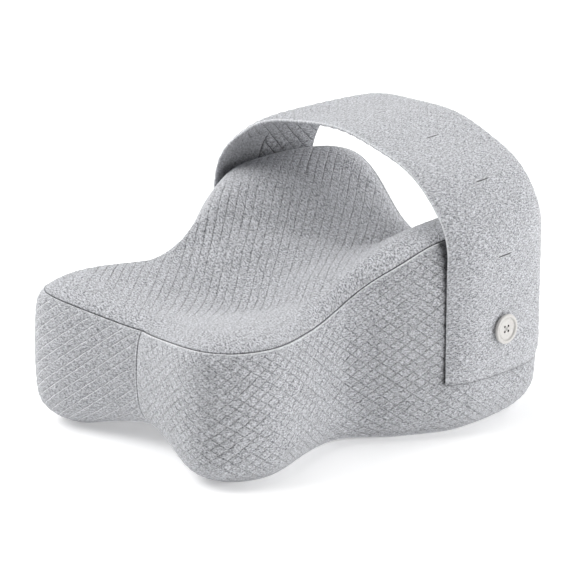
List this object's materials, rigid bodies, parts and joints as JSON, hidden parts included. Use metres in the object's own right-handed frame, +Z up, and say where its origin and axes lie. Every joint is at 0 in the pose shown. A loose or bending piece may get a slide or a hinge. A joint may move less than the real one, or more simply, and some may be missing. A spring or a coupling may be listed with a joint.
{
  "type": "knee pillow",
  "caption": "Contoured knee pillow in a quilted knit cover, with leg channels above and below and a buttoned leg strap",
  "frame": {"origin": "middle of the whole pillow's box, on the surface that it lies on", "axes": "+Z up; +Y along the leg channels, from the low front end to the high rear end; +X towards the flank with the button"},
  "size_m": [0.2851, 0.326, 0.2173],
  "materials": {
    "quilted_knit": "light grey melange knit, quilted in small diamonds, soft and matt",
    "strap_knit": "the same quilted knit, two layers thick",
    "button_resin": "cream-white, satin, with a raised rim",
    "thread": "off-white cotton thread"
  },
  "bodies": {
    "root": {"cushion": "quilted_knit", "strap": "strap_knit", "button": "button_resin", "thread_shank": "thread"}
  },
  "joints": []
}
